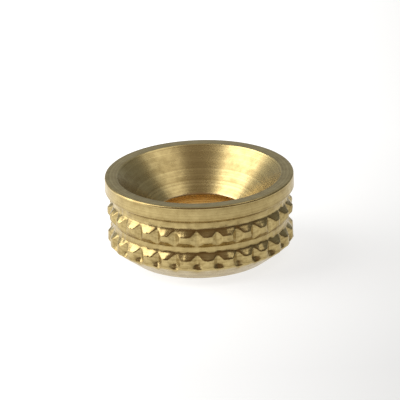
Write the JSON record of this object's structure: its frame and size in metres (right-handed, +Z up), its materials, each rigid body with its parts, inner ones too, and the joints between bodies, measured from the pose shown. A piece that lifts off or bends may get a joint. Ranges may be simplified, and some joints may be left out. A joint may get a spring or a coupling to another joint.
{
  "type": "screw cup socket",
  "caption": "Turned brass screw cup with a countersunk seat over a clearance bore and fluted grip rings that hold it in a drilled hole.",
  "frame": {"origin": "centre of the underside, on the axis of the bore", "axes": "+Z up the bore's axis, out of the countersunk mouth; +X and +Y lie in the underside"},
  "size_m": [0.012, 0.012, 0.0054],
  "materials": {
    "turned_brass": "turned, bright, fine lathe marks"
  },
  "bodies": {
    "root": {"screw_cup": "turned_brass"}
  },
  "joints": []
}
